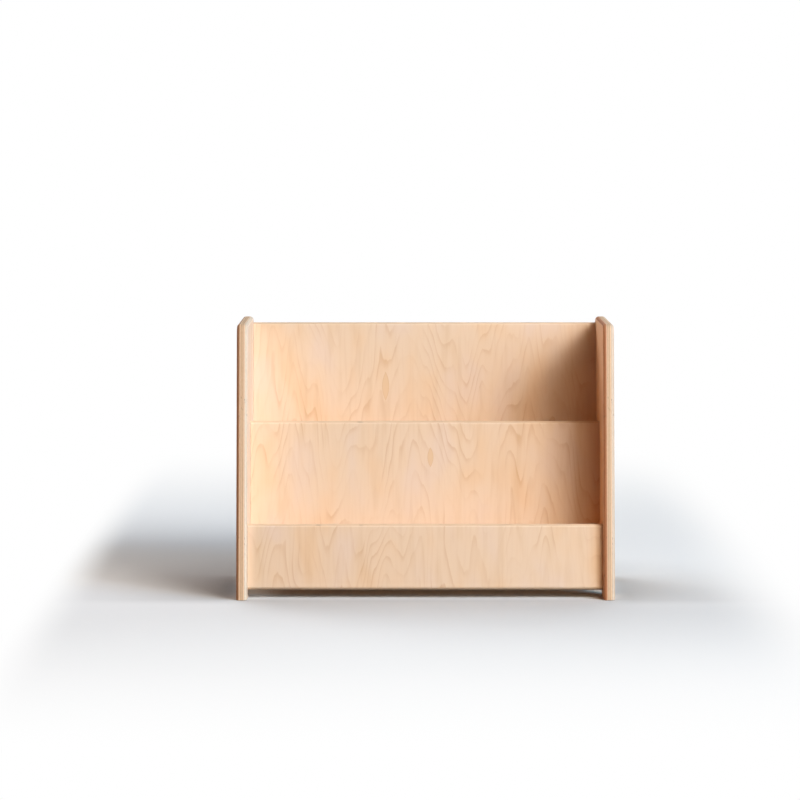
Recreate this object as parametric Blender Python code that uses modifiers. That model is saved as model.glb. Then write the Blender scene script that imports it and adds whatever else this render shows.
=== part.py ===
"""Low front-facing book display: two leaning book pockets between two plywood sides.

Metres, +Z up. The front faces -Y and +X is to the right of someone who stands in front of it.
The origin is on the floor, in the middle of the width and of the depth.
"""

from math import atan2, cos, pi, radians, sin, tan

import bmesh
import bpy
from mathutils import Matrix, Vector

# Overall size
WIDTH = 0.610
DEPTH = 0.300
HEIGHT = 0.441
LEAN = radians(8.5)

# Plywood
SIDE_THICKNESS = 0.018
BOARD_THICKNESS = 0.018
EDGE_ROUNDING = 0.006

# Outline of the side panels
CORNER_RADIUS = 0.016
FOOT_LENGTH = 0.070
ARCH_HEIGHT = 0.032
ARCH_RADIUS = 0.020

# Places of the boards: setbacks and the pocket are square to the lean, the rest is upright
FRONT_SETBACK = 0.016
FRONT_POCKET = 0.074
FRONT_HEIGHT = 0.1203
FRONT_FLOOR_GAP = 0.0125
BACK_SETBACK = 0.0095
BACK_DROP = 0.0087
ARCH_MARGIN = 0.007

# Connector bolts and barrel nuts
BOLT_DIAMETER = 0.006
HEAD_DIAMETER = 0.012
HEAD_HEIGHT = 0.0045
HEAD_RECESS = 0.0008
SOCKET_WIDTH = 0.004
SOCKET_DEPTH = 0.0025
NUT_DIAMETER = 0.010
NUT_RECESS = 0.002
NUT_SETBACK = 0.030
HARDWARE_CHAMFER = 0.0006

# Dowels
DOWEL_DIAMETER = 0.008
DOWEL_BOARD_DEPTH = 0.018
DOWEL_SIDE_WALL = 0.006
DOWEL_CHAMFER = 0.0012

# Fits, cuts and facets
FIT_GAP = 0.0003
CUT_OVERRUN = 0.010
MERGE_DISTANCE = 0.00001
ROUNDING_STEPS = 3
CORNER_STEPS = 5
TURN_STEPS = 12

# Fastener places, as shares of a board's width along its end
BOLT_SHARES = {
    "front_panel": (0.20,),
    "middle_panel": (0.18, 0.56),
    "back_panel": (0.15, 0.82),
    "lower_shelf": (0.75,),
    "upper_shelf": (0.75,),
}
DOWEL_SHARES = {
    "front_panel": (0.47, 0.78),
    "middle_panel": (0.37, 0.86),
    "back_panel": (0.36, 0.62),
    "lower_shelf": (0.25,),
    "upper_shelf": (0.25,),
}
SIDES = {"left": -1, "right": 1}

# Finishes: colour, roughness, metallic
FINISHES = {
    "side_plywood": ((0.80, 0.58, 0.38), 0.45, 0.0),
    "panel_plywood": ((0.84, 0.62, 0.42), 0.45, 0.0),
    "shelf_plywood": ((0.82, 0.60, 0.40), 0.45, 0.0),
    "dowel_beech": ((0.66, 0.45, 0.28), 0.60, 0.0),
    "bolt_steel": ((0.62, 0.61, 0.58), 0.35, 1.0),
    "nut_steel": ((0.58, 0.57, 0.54), 0.40, 1.0),
}

# Worked out from the sizes above
TOE = -DEPTH / 2
HALF_INSIDE = WIDTH / 2 - SIDE_THICKNESS
HALF_BOARD = HALF_INSIDE - FIT_GAP
BOARD_BOTTOM = ARCH_HEIGHT + ARCH_MARGIN
BOLT_SEAT = SIDE_THICKNESS - HEAD_RECESS - HEAD_HEIGHT
BOLT_REACH = NUT_SETBACK + NUT_DIAMETER / 2


def to_lean(behind_toe, height):
    """Turns a distance behind the toe and a height into a setback and a rise along the lean."""
    setback = behind_toe * cos(LEAN) - height * sin(LEAN)
    rise = behind_toe * sin(LEAN) + height * cos(LEAN)
    return setback, rise


def rise_at(setback, height):
    """Gives the rise along the lean of the point at a setback and an upright height."""
    return (height + setback * sin(LEAN)) / cos(LEAN)


def board_spans():
    """Gives each board's (setback from, setback to, rise from, rise to) in the leaning frame.

    The middle panel ends halfway between the other two, and both pockets have the same lip.
    """
    front = FRONT_SETBACK
    front_rear = front + BOARD_THICKNESS
    front_top = rise_at(front, FRONT_HEIGHT)
    back, back_top = to_lean(DEPTH - BACK_SETBACK - BOARD_THICKNESS * cos(LEAN), HEIGHT - BACK_DROP)
    back_rear = back + BOARD_THICKNESS
    middle = front_rear + FRONT_POCKET
    middle_rear = middle + BOARD_THICKNESS
    middle_top = (front_top + back_top) / 2
    middle_bottom = rise_at(middle_rear, BOARD_BOTTOM)
    lower_top = middle_bottom + BOARD_THICKNESS
    upper_top = middle_top - (front_top - lower_top)
    return {
        "front_panel": (front, front_rear, rise_at(front_rear, FRONT_FLOOR_GAP), front_top),
        "middle_panel": (middle, middle_rear, middle_bottom, middle_top),
        "back_panel": (back, back_rear, rise_at(back_rear, BOARD_BOTTOM), back_top),
        "lower_shelf": (front_rear + FIT_GAP, middle - FIT_GAP, middle_bottom, lower_top),
        "upper_shelf": (middle_rear + FIT_GAP, back - FIT_GAP, upper_top - BOARD_THICKNESS, upper_top),
    }


def is_shelf(board_name):
    """Says whether a board lies across the lean, as a pocket's floor."""
    return board_name.endswith("shelf")


def fitting_radius(wanted, *rooms):
    """Gives the wanted radius, or what the narrowest wall has room for where that is less."""
    return min(wanted, min(rooms) - FIT_GAP)


def clear_scene():
    """Removes what the scene holds."""
    for old in list(bpy.data.objects):
        bpy.data.objects.remove(old, do_unlink=True)


def make_collection(name):
    """Adds a collection to the scene."""
    collection = bpy.data.collections.new(name)
    bpy.context.scene.collection.children.link(collection)
    return collection


def make_finish(name):
    """Makes a plain material from the list of finishes."""
    colour, roughness, metallic = FINISHES[name]
    material = bpy.data.materials.new(name)
    material.use_nodes = True
    shader = material.node_tree.nodes["Principled BSDF"]
    shader.inputs["Base Color"].default_value = (*colour, 1.0)
    shader.inputs["Roughness"].default_value = roughness
    shader.inputs["Metallic"].default_value = metallic
    return material


def make_empty(name, location, rotation, parent):
    """Adds an empty that carries other objects."""
    empty = bpy.data.objects.new(name, None)
    empty.location = location
    empty.rotation_euler = rotation
    empty.parent = parent
    parts.objects.link(empty)
    return empty


def take_primitive(name):
    """Takes the primitive that was just added out of every collection, under a new name."""
    obj = bpy.context.active_object
    for collection in list(obj.users_collection):
        collection.objects.unlink(obj)
    obj.name = name
    obj.data.name = name
    return obj


def as_part(obj, finish, parent):
    """Puts a solid in the object's collection, under its parent."""
    parts.objects.link(obj)
    obj.parent = parent
    obj.data.materials.append(finish)


def as_cutter(obj, parent):
    """Keeps a shape out of the object, to cut others with."""
    cutters.objects.link(obj)
    obj.parent = parent
    obj.hide_render = True
    obj.display_type = "WIRE"


def cut(obj, cutter):
    """Cuts one shape out of a solid."""
    modifier = obj.modifiers.new("Cut " + cutter.name, "BOOLEAN")
    modifier.operation = "DIFFERENCE"
    modifier.solver = "EXACT"
    modifier.object = cutter


def round_edges(obj, width, is_rounded):
    """Rounds the edges of a mesh that a test picks, by edge weight."""
    mesh = bmesh.new()
    mesh.from_mesh(obj.data)
    weight = mesh.edges.layers.float.new("bevel_weight_edge")
    for edge in mesh.edges:
        edge[weight] = 1.0 if is_rounded(edge) else 0.0
    mesh.to_mesh(obj.data)
    mesh.free()
    modifier = obj.modifiers.new("Round edges", "BEVEL")
    modifier.limit_method = "WEIGHT"
    modifier.width = width
    modifier.segments = ROUNDING_STEPS
    modifier.use_clamp_overlap = False


def turned(name, profile):
    """Turns a profile of (radius, height) points, listed from top to bottom, about the Z axis."""
    mesh = bpy.data.meshes.new(name)
    points = [(radius, 0.0, height) for radius, height in profile]
    mesh.from_pydata(points, [(i, i + 1) for i in range(len(points) - 1)], [])
    obj = bpy.data.objects.new(name, mesh)
    modifier = obj.modifiers.new("Turn", "SCREW")
    modifier.steps = TURN_STEPS
    modifier.render_steps = TURN_STEPS
    modifier.use_merge_vertices = True
    modifier.merge_threshold = MERGE_DISTANCE
    modifier.use_smooth_shade = True
    return obj


def plug_profile(radius, top, bottom, chamfer):
    """Gives the profile of a round plug with chamfered ends."""
    return [
        (0.0, top),
        (radius - chamfer, top),
        (radius, top - chamfer),
        (radius, bottom + chamfer),
        (radius - chamfer, bottom),
        (0.0, bottom),
    ]


def hole_profile(radius, top, bottom):
    """Gives the profile of a plain round hole."""
    return [(0.0, top), (radius, top), (radius, bottom), (0.0, bottom)]


def rounded_outline(corners):
    """Walks round a list of (point, radius) corners and turns each radius into an arc."""
    outline = []
    for i, (point, radius) in enumerate(corners):
        here = Vector(point)
        if radius == 0.0:
            outline.append(here)
            continue
        to_last = (Vector(corners[i - 1][0]) - here).normalized()
        to_next = (Vector(corners[(i + 1) % len(corners)][0]) - here).normalized()
        half_angle = to_last.angle(to_next) / 2
        centre = here + (to_last + to_next).normalized() * (radius / sin(half_angle))
        start = here + to_last * (radius / tan(half_angle)) - centre
        end = here + to_next * (radius / tan(half_angle)) - centre
        first = atan2(start.y, start.x)
        sweep = (atan2(end.y, end.x) - first + pi) % (2 * pi) - pi
        for step in range(CORNER_STEPS + 1):
            angle = first + sweep * step / CORNER_STEPS
            outline.append(centre + Vector((cos(angle), sin(angle))) * radius)
    return outline


def side_outline():
    """Gives the side panel's outline: leaning front, upright back, two feet and an arch."""
    heel = -TOE
    arch_front = TOE + FOOT_LENGTH
    arch_rear = heel - FOOT_LENGTH
    arch_radius = fitting_radius(ARCH_RADIUS, ARCH_HEIGHT)
    return rounded_outline([
        ((TOE, 0.0), 0.0),
        ((arch_front, 0.0), 0.0),
        ((arch_front, ARCH_HEIGHT), arch_radius),
        ((arch_rear, ARCH_HEIGHT), arch_radius),
        ((arch_rear, 0.0), 0.0),
        ((heel, 0.0), 0.0),
        ((heel, HEIGHT), CORNER_RADIUS),
        ((TOE + HEIGHT * tan(LEAN), HEIGHT), CORNER_RADIUS),
    ])


def plate_from_outline(name, outline, thickness):
    """Makes a flat plate whose outline lies in its own XY plane, with one face on each side."""
    curve = bpy.data.curves.new(name, "CURVE")
    curve.dimensions = "2D"
    curve.fill_mode = "BOTH"
    curve.extrude = thickness / 2
    spline = curve.splines.new("POLY")
    spline.points.add(len(outline) - 1)
    for point, place in zip(spline.points, outline):
        point.co = (place.x, place.y, 0.0, 1.0)
    spline.use_cyclic_u = True
    drawn = bpy.data.objects.new(name + "_outline", curve)
    bpy.context.scene.collection.objects.link(drawn)
    evaluated = drawn.evaluated_get(bpy.context.evaluated_depsgraph_get())
    mesh = bpy.data.meshes.new_from_object(evaluated)
    bpy.data.objects.remove(drawn, do_unlink=True)
    plate = bmesh.new()
    plate.from_mesh(mesh)
    bmesh.ops.remove_doubles(plate, verts=plate.verts, dist=MERGE_DISTANCE)
    bmesh.ops.dissolve_limit(plate, angle_limit=radians(0.5), verts=plate.verts, edges=plate.edges)
    bmesh.ops.recalc_face_normals(plate, faces=plate.faces)
    plate.to_mesh(mesh)
    plate.free()
    mesh.name = name
    return bpy.data.objects.new(name, mesh)


def make_side(side, finish, parent):
    """Makes one side panel, rounded all round except under its feet."""
    panel = plate_from_outline(side + "_side_panel", side_outline(), SIDE_THICKNESS)
    panel.location.x = SIDES[side] * (WIDTH - SIDE_THICKNESS) / 2
    panel.rotation_euler = (pi / 2, 0.0, pi / 2)
    as_part(panel, finish, parent)

    def is_rim(edge):
        start, end = (vertex.co for vertex in edge.verts)
        on_one_face = abs(start.z - end.z) < MERGE_DISTANCE
        under_foot = max(start.y, end.y) < MERGE_DISTANCE
        return on_one_face and not under_foot

    round_edges(panel, fitting_radius(EDGE_ROUNDING, SIDE_THICKNESS / 2, CORNER_RADIUS), is_rim)
    return panel


def make_board(name, span, finish, parent):
    """Makes one board between the sides, in the leaning frame, with rounded long edges on a panel."""
    front, rear, bottom, top = span
    bpy.ops.mesh.primitive_cube_add(size=1.0)
    board = take_primitive(name)
    board.data.transform(Matrix.Diagonal((2 * HALF_BOARD, rear - front, top - bottom, 1.0)))
    board.location = (0.0, (front + rear) / 2, (bottom + top) / 2)
    as_part(board, finish, parent)

    def runs_along(edge):
        start, end = (vertex.co for vertex in edge.verts)
        return abs(start.x - end.x) > HALF_BOARD

    if not is_shelf(name):
        round_edges(board, fitting_radius(EDGE_ROUNDING, BOARD_THICKNESS / 2), runs_along)
    return board


def fastener_spot(board_name, span, share):
    """Gives the (setback, rise) of a fastener at a share of a board's width, in mid thickness."""
    front, rear, bottom, top = span
    if is_shelf(board_name):
        return front + share * (rear - front), (bottom + top) / 2
    return (front + rear) / 2, bottom + share * (top - bottom)


def lay_across(piece, side, spot):
    """Lays a turned piece along X, its top outwards, with its zero at the side's inner face."""
    setback, rise = spot
    piece.location = (SIDES[side] * HALF_INSIDE, setback, rise)
    piece.rotation_euler = (0.0, SIDES[side] * pi / 2, 0.0)


def make_bolt(name, side, spot):
    """Makes a connector bolt with a socket head, and returns the stepped hole that it goes in."""
    shank = BOLT_DIAMETER / 2
    head = HEAD_DIAMETER / 2
    head_top = BOLT_SEAT + HEAD_HEIGHT
    bolt = turned(name, [
        (0.0, head_top),
        (head - HARDWARE_CHAMFER, head_top),
        (head, head_top - HARDWARE_CHAMFER),
        (head, BOLT_SEAT),
        (shank, BOLT_SEAT),
        (shank, HARDWARE_CHAMFER - BOLT_REACH),
        (shank - HARDWARE_CHAMFER, -BOLT_REACH),
        (0.0, -BOLT_REACH),
    ])
    lay_across(bolt, side, spot)
    as_part(bolt, finishes["bolt_steel"], leaning_frame)

    socket_radius = SOCKET_WIDTH / 2 / cos(pi / 6)
    bpy.ops.mesh.primitive_cylinder_add(vertices=6, radius=socket_radius, depth=2 * SOCKET_DEPTH)
    socket = take_primitive(name + "_socket")
    socket.location = (0.0, 0.0, head_top)
    as_cutter(socket, bolt)
    cut(bolt, socket)

    hole = turned(name + "_hole", [
        (0.0, SIDE_THICKNESS + CUT_OVERRUN),
        (head + FIT_GAP, SIDE_THICKNESS + CUT_OVERRUN),
        (head + FIT_GAP, BOLT_SEAT - FIT_GAP),
        (shank + FIT_GAP, BOLT_SEAT - FIT_GAP),
        (shank + FIT_GAP, -BOLT_REACH - FIT_GAP),
        (0.0, -BOLT_REACH - FIT_GAP),
    ])
    lay_across(hole, side, spot)
    as_cutter(hole, leaning_frame)
    return hole


def make_nut(name, side, spot, in_shelf):
    """Makes a barrel nut, and returns it with the blind hole that opens on the board's hidden face."""
    setback, rise = spot
    half_length = BOARD_THICKNESS / 2 - NUT_RECESS
    radius = NUT_DIAMETER / 2
    nut = turned(name, plug_profile(radius, half_length, -half_length, HARDWARE_CHAMFER))
    hole_top = BOARD_THICKNESS / 2 + CUT_OVERRUN
    hole = turned(name + "_hole", hole_profile(radius + FIT_GAP, hole_top, -half_length - FIT_GAP))
    for piece in (nut, hole):
        piece.location = (SIDES[side] * (HALF_INSIDE - NUT_SETBACK), setback, rise)
        piece.rotation_euler = (pi if in_shelf else -pi / 2, 0.0, 0.0)
    as_part(nut, finishes["nut_steel"], leaning_frame)
    as_cutter(hole, leaning_frame)
    return nut, hole


def make_dowel(name, side, spot):
    """Makes a dowel with chamfered ends, and returns the hole that it has in side and board."""
    radius = DOWEL_DIAMETER / 2
    outer = SIDE_THICKNESS - DOWEL_SIDE_WALL
    inner = -DOWEL_BOARD_DEPTH
    dowel = turned(name, plug_profile(radius, outer, inner, DOWEL_CHAMFER))
    hole = turned(name + "_hole", hole_profile(radius + FIT_GAP, outer + FIT_GAP, inner - FIT_GAP))
    for piece in (dowel, hole):
        lay_across(piece, side, spot)
    as_part(dowel, finishes["dowel_beech"], leaning_frame)
    as_cutter(hole, leaning_frame)
    return hole


def fasten(board, span, side_panel, side):
    """Joins one end of a board to a side panel with its bolts, barrel nuts and dowels."""
    for number, share in enumerate(BOLT_SHARES[board.name], 1):
        spot = fastener_spot(board.name, span, share)
        bolt_hole = make_bolt(f"{board.name}_bolt_{side}_{number}", side, spot)
        nut_name = f"{board.name}_barrel_nut_{side}_{number}"
        nut, nut_hole = make_nut(nut_name, side, spot, is_shelf(board.name))
        for piece in (nut, side_panel, board):
            cut(piece, bolt_hole)
        cut(board, nut_hole)
    for number, share in enumerate(DOWEL_SHARES[board.name], 1):
        spot = fastener_spot(board.name, span, share)
        dowel_hole = make_dowel(f"{board.name}_dowel_{side}_{number}", side, spot)
        for piece in (side_panel, board):
            cut(piece, dowel_hole)


clear_scene()
parts = make_collection("book_display")
cutters = make_collection("book_display_cutters")
finishes = {finish_name: make_finish(finish_name) for finish_name in FINISHES}
stand = make_empty("book_display", (0.0, 0.0, 0.0), (0.0, 0.0, 0.0), None)
leaning_frame = make_empty("leaning_frame", (0.0, TOE, 0.0), (-LEAN, 0.0, 0.0), stand)

side_panels = {side_name: make_side(side_name, finishes["side_plywood"], stand) for side_name in SIDES}
for board_name, board_span in board_spans().items():
    board_finish = finishes["shelf_plywood" if is_shelf(board_name) else "panel_plywood"]
    new_board = make_board(board_name, board_span, board_finish, leaning_frame)
    for side_name, panel in side_panels.items():
        fasten(new_board, board_span, panel, side_name)
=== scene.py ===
"""Looks of the low front-facing book display: maple plywood boards, bolts, barrel nuts and dowels.

Metres, +Z up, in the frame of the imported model. The front faces -Y.
"""

import logging
from collections.abc import Callable, Iterator
from contextlib import contextmanager
from dataclasses import dataclass, field, replace
from enum import Enum
from math import atan2, cos, floor, pi, radians, sin, tan
from typing import Any, ClassVar, Union

import bmesh
import bpy
from mathutils import Matrix, Vector

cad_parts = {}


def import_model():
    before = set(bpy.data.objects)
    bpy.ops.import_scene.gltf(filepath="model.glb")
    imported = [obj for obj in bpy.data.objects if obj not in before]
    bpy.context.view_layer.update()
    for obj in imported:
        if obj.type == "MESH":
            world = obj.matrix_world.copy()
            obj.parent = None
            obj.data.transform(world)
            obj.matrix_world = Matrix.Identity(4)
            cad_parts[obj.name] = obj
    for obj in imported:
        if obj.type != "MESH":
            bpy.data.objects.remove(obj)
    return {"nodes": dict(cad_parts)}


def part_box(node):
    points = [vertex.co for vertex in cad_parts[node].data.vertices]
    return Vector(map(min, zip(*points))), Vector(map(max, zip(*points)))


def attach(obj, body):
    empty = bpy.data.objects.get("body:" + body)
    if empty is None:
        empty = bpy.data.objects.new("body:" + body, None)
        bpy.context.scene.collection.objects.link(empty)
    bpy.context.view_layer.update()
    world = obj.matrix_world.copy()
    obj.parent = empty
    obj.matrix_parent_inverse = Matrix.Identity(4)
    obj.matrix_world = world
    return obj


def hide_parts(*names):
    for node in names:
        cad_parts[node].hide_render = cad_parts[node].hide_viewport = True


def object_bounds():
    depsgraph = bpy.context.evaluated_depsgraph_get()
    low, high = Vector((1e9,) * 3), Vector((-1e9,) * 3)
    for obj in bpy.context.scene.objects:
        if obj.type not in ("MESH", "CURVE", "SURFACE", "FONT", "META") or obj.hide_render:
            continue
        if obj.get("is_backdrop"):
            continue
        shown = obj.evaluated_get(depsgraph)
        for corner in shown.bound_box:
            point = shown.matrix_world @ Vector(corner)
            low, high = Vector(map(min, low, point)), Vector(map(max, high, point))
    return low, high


log = logging.getLogger("book_display")

Colour = tuple[float, float, float]
Scale = tuple[float, float, float]
Span = tuple[float, float]
Number = Union[float, "Wire"]

BODY = "root"

# Sizes that the CAD boards have too
LEAN = radians(8.5)
SIDE_THICKNESS = 0.018
EDGE_ROUNDING = 0.006
CORNER_RADIUS = 0.016
FOOT_LENGTH = 0.070
ARCH_HEIGHT = 0.032
ARCH_RADIUS = 0.020
FIT_GAP = 0.0003

# Sizes of the finished pieces alone, and of the tools that shape them
RIM_EASE = 0.0004
SOLE_EASE = 0.0016
CUT_OVERRUN = 0.010
NEAR = 0.00002
SMOOTH_ANGLE = radians(40)


class Slot(Enum):
    """Names of the kinds of finish, as the log shows them."""

    SIDE = "side_plywood"
    PANEL = "panel_plywood"
    SHELF = "shelf_plywood"
    DOWEL = "dowel_beech"
    BOLT = "bolt_steel"
    NUT = "nut_steel"


class End(Enum):
    """The two ends of the boards, as the sign of X."""

    LEFT = -1
    RIGHT = 1

    @property
    def word(self) -> str:
        """The end's word in the names of the nodes."""
        return self.name.lower()


def end_of(node: str) -> End:
    """Tells from a node's name which end it belongs to."""
    return End.LEFT if "_left" in node else End.RIGHT


class Grain(Enum):
    """Which of a board's own axes run across the grain, along it and through the thickness."""

    UPRIGHT_PANEL = (0, 2, 1)
    UPRIGHT_SIDE = (1, 2, 0)
    ACROSS_SHELF = (1, 0, 2)


class Wire:
    """A value in a shader: a socket that Python's operators join with Math nodes."""

    def __init__(self, graph: "ShaderGraph", socket: bpy.types.NodeSocket) -> None:
        """Keeps the socket and the graph that it belongs to."""
        self.graph = graph
        self.socket = socket

    def other(self, output: int | str) -> "Wire":
        """Another output of the same node."""
        return Wire(self.graph, self.socket.node.outputs[output])

    def _join(self, operation: str, first: Number, second: Number) -> "Wire":
        """Adds one Math node on two values."""
        return self.graph.node("ShaderNodeMath", {"operation": operation}, {0: first, 1: second})

    def __add__(self, other: Number) -> "Wire":
        """This value plus another."""
        return self._join("ADD", self, other)

    __radd__ = __add__

    def __sub__(self, other: Number) -> "Wire":
        """This value less another."""
        return self._join("SUBTRACT", self, other)

    def __rsub__(self, other: Number) -> "Wire":
        """Another value less this one."""
        return self._join("SUBTRACT", other, self)

    def __neg__(self) -> "Wire":
        """This value with its sign turned."""
        return self._join("SUBTRACT", 0.0, self)

    def __mul__(self, other: Number) -> "Wire":
        """This value times another."""
        return self._join("MULTIPLY", self, other)

    __rmul__ = __mul__

    def __truediv__(self, other: Number) -> "Wire":
        """This value over another."""
        return self._join("DIVIDE", self, other)

    def __pow__(self, other: Number) -> "Wire":
        """This value to a power."""
        return self._join("POWER", self, other)

    def __gt__(self, other: Number) -> "Wire":
        """One where this value is larger than another, and nought elsewhere."""
        return self._join("GREATER_THAN", self, other)

    def __mod__(self, other: Number) -> "Wire":
        """What is left of this value over whole steps of another, never below nought."""
        return self._join("FLOORED_MODULO", self, other)

    def __abs__(self) -> "Wire":
        """This value without its sign."""
        return self._join("ABSOLUTE", self, 0.0)

    def __floor__(self) -> "Wire":
        """The whole number below this value."""
        return self._join("FLOOR", self, 0.0)


class ShaderGraph:
    """Builds one material's nodes."""

    def __init__(self, tree: bpy.types.NodeTree) -> None:
        """Starts from an empty tree.

        Args:
            tree: The node tree of a material or of the world.
        """
        self.tree = tree
        tree.nodes.clear()

    def node(
        self,
        kind: str,
        settings: dict[str, Any] | None = None,
        sockets: dict[int | str, Any] | None = None,
        output: int | str = 0,
    ) -> Wire:
        """Adds any node.

        Args:
            kind: The node's type.
            settings: Properties to set first.
            sockets: Values or wires for the inputs, by name or number.
            output: The output to return.

        Returns:
            The chosen output.
        """
        made = self.tree.nodes.new(kind)
        for name, value in (settings or {}).items():
            setattr(made, name, value)
        for key, value in (sockets or {}).items():
            if isinstance(value, Wire):
                self.tree.links.new(value.socket, made.inputs[key])
            else:
                made.inputs[key].default_value = value
        return Wire(self, made.outputs[output] if made.outputs else None)

    def split(self, vector: Wire) -> list[Wire]:
        """The three parts of a vector."""
        first = self.node("ShaderNodeSeparateXYZ", sockets={0: vector})
        return [first.other(axis) for axis in range(3)]

    def join(self, x: Number, y: Number, z: Number) -> Wire:
        """A vector of three values."""
        return self.node("ShaderNodeCombineXYZ", sockets={0: x, 1: y, 2: z})

    def scaled(self, vector: Wire, scale: Scale) -> Wire:
        """A vector with each part times its own number."""
        return self.node("ShaderNodeVectorMath", {"operation": "MULTIPLY"}, {0: vector, 1: scale})

    def noise(self, vector: Wire, detail: float = 2.0) -> Wire:
        """Soft noise from nought to one, one blob to a unit of the vector."""
        return self.node("ShaderNodeTexNoise", {}, {"Vector": vector, "Scale": 1.0, "Detail": detail}, "Fac")

    def chance(self, value: Number) -> Wire:
        """A number from nought to one that is random but the same for each value."""
        return self.node("ShaderNodeTexWhiteNoise", {"noise_dimensions": "1D"}, {"W": value}, "Value")

    def step(self, value: Wire, low: float, high: float) -> Wire:
        """A soft step from nought at one value to one at another."""
        sockets = {"Value": value, "From Min": low, "From Max": high}
        return self.node("ShaderNodeMapRange", {"interpolation_type": "SMOOTHSTEP"}, sockets)

    def mix(self, factor: Number, first: Wire | Colour, second: Wire | Colour, blend: str = "MIX") -> Wire:
        """Mixes two colours.

        Args:
            factor: Nought for the first colour, one for the second.
            first: A colour or a wire.
            second: A colour or a wire.
            blend: The Mix node's way of blending.

        Returns:
            The mixed colour.
        """
        colours = [c if isinstance(c, Wire) else (*c, 1.0) for c in (first, second)]
        settings = {"data_type": "RGBA", "blend_type": blend}
        return self.node("ShaderNodeMix", settings, {0: factor, 6: colours[0], 7: colours[1]}, 2)

    def tint(self, colour: Wire | Colour, amount: Number, shade: Colour) -> Wire:
        """Multiplies a colour by a shade, by the amount given."""
        return self.mix(amount, colour, shade, "MULTIPLY")

    def bump(self, height: Wire, strength: float, depth: float) -> Wire:
        """The normal of a surface that a height roughens."""
        return self.node("ShaderNodeBump", {}, {"Strength": strength, "Distance": depth, "Height": height})

    def principled(self, sockets: dict[str, Any]) -> None:
        """Makes a Principled shader the material's surface."""
        self.surface(self.node("ShaderNodeBsdfPrincipled", {}, sockets))

    def surface(self, shader: Wire) -> None:
        """Makes a shader the material's surface."""
        self.node("ShaderNodeOutputMaterial", sockets={"Surface": shader})


def new_material(name: str) -> tuple[bpy.types.Material, ShaderGraph]:
    """Makes an empty material.

    Args:
        name: The material's name.

    Returns:
        The material, and the graph that fills it.
    """
    made = bpy.data.materials.new(name)
    made.use_nodes = True
    return made, ShaderGraph(made.node_tree)


@dataclass(frozen=True)
class LeaningFrame:
    """The frame that the boards stand in: Y is the setback from the front edge, Z the rise."""

    lean: float
    toe: float
    nodes: dict[str, bpy.types.Object] = field(repr=False)

    @property
    def matrix(self) -> Matrix:
        """Takes a place in this frame to the model's frame."""
        return Matrix.Translation((0.0, self.toe, 0.0)) @ Matrix.Rotation(-self.lean, 4, "X")

    def box(self, node: str) -> tuple[Vector, Vector]:
        """Gives a CAD node's box in this frame.

        Args:
            node: The node's name.

        Returns:
            The lowest and the highest corner.
        """
        to_lean = self.matrix.inverted()
        points = [to_lean @ vertex.co for vertex in self.nodes[node].data.vertices]
        return Vector(map(min, zip(*points))), Vector(map(max, zip(*points)))


@dataclass(frozen=True)
class BoardAxes:
    """How a board lies: its turn, the middle of its thickness and the run of its grain."""

    turn: float
    middle: Vector
    thickness: float
    grain: Grain


@dataclass(frozen=True)
class Repair:
    """A lens-shaped veneer patch let into a face in place of a knot."""

    across: float
    along: float
    width: float
    length: float


@dataclass(frozen=True)
class Figure:
    """A noise in the wood: blobs to a metre across and along the grain, and the levels it shows between."""

    across: float
    along: float
    shift: float = 0.0
    detail: float = 2.0
    levels: Span = (0.0, 1.0)


@dataclass(frozen=True)
class WoodPlace:
    """A place across and along the grain, in a sheet that its seed tells from others."""

    graph: ShaderGraph
    across: Wire
    along: Wire
    seed: Number

    def noise(self, figure: Figure) -> Wire:
        """A figure's noise here, from nought to one."""
        across = self.across * figure.across
        along = self.along * figure.along
        return self.graph.noise(self.graph.join(across, along, self.seed + figure.shift), figure.detail)

    def mask(self, figure: Figure) -> Wire:
        """How much a figure shows here, from nought to one."""
        return self.graph.step(self.noise(figure), *figure.levels)


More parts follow.
